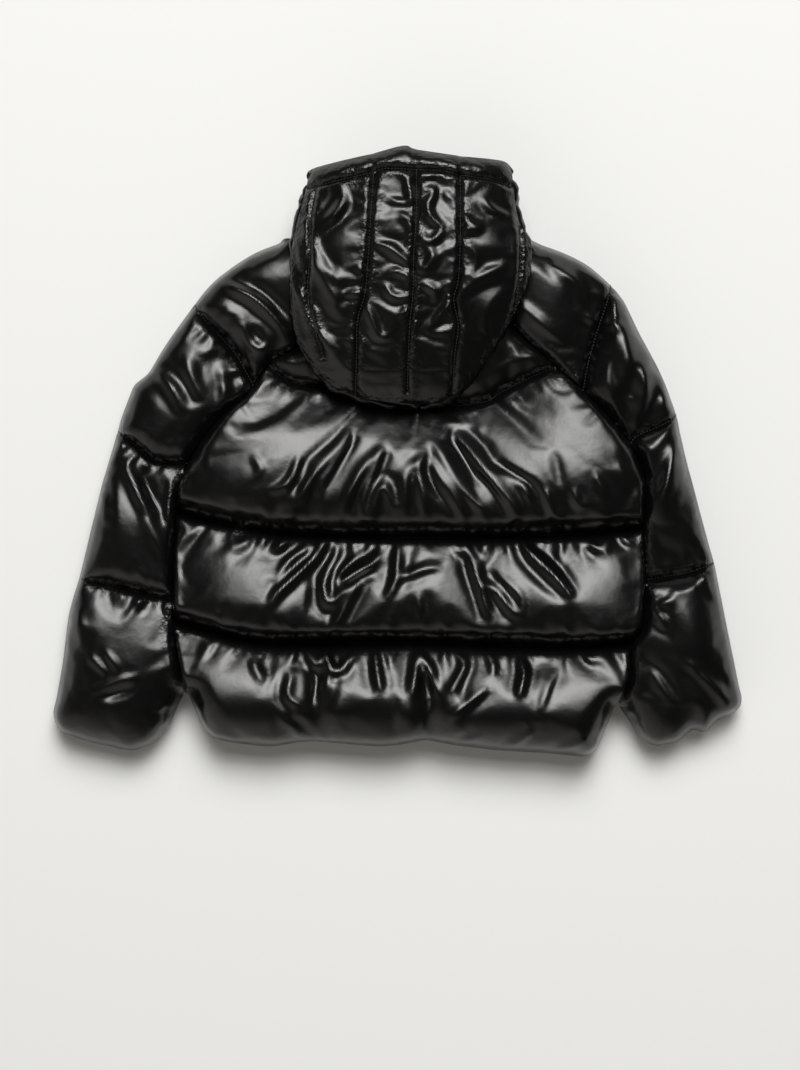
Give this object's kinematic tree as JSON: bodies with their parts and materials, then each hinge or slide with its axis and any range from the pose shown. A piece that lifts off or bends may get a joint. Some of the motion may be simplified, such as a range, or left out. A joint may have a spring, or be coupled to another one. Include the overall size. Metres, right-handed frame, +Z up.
{
  "type": "hooded puffer jacket",
  "caption": "Black glossy hooded puffer jacket laid flat on its front, hood thrown back, quilted in wide bands, with raglan sleeves and an open-ended front zip.",
  "frame": {"origin": "middle of the bounding box, on the surface that the jacket lies on", "axes": "+X to the right seen from above with the hood at the far side, +Y from the hem to the hood, +Z up from the surface"},
  "size_m": [0.6938, 0.6086, 0.098],
  "materials": {
    "shell_nylon": "glossy coated nylon over padding",
    "zip_tape": "matte woven tape",
    "zip_plastic": "moulded black teeth",
    "slider_metal": "black enamelled zinc"
  },
  "bodies": {
    "jacket": {"back": "shell_nylon", "front_left": "shell_nylon", "front_right": "shell_nylon", "sleeve_left_back": "shell_nylon", "sleeve_left_front": "shell_nylon", "sleeve_right_back": "shell_nylon", "sleeve_right_front": "shell_nylon", "hood_centre": "shell_nylon", "hood_side_left": "shell_nylon", "hood_side_right": "shell_nylon", "hood_band": "shell_nylon", "zip_tape_left": "zip_tape", "zip_tape_right": "zip_tape", "zip_chain": "zip_plastic", "zip_box": "zip_plastic", "zip_slider": "slider_metal"},
    "pull_tab": {"zip_pull": "slider_metal"}
  },
  "joints": [
    {"name": "pull_swing", "type": "hinge", "parent": "jacket", "child": "pull_tab", "pos_m": [0.006, 0.24953, 0.0032], "axis": [1, 0, 0], "range_deg": [-3.5, 170]}
  ]
}
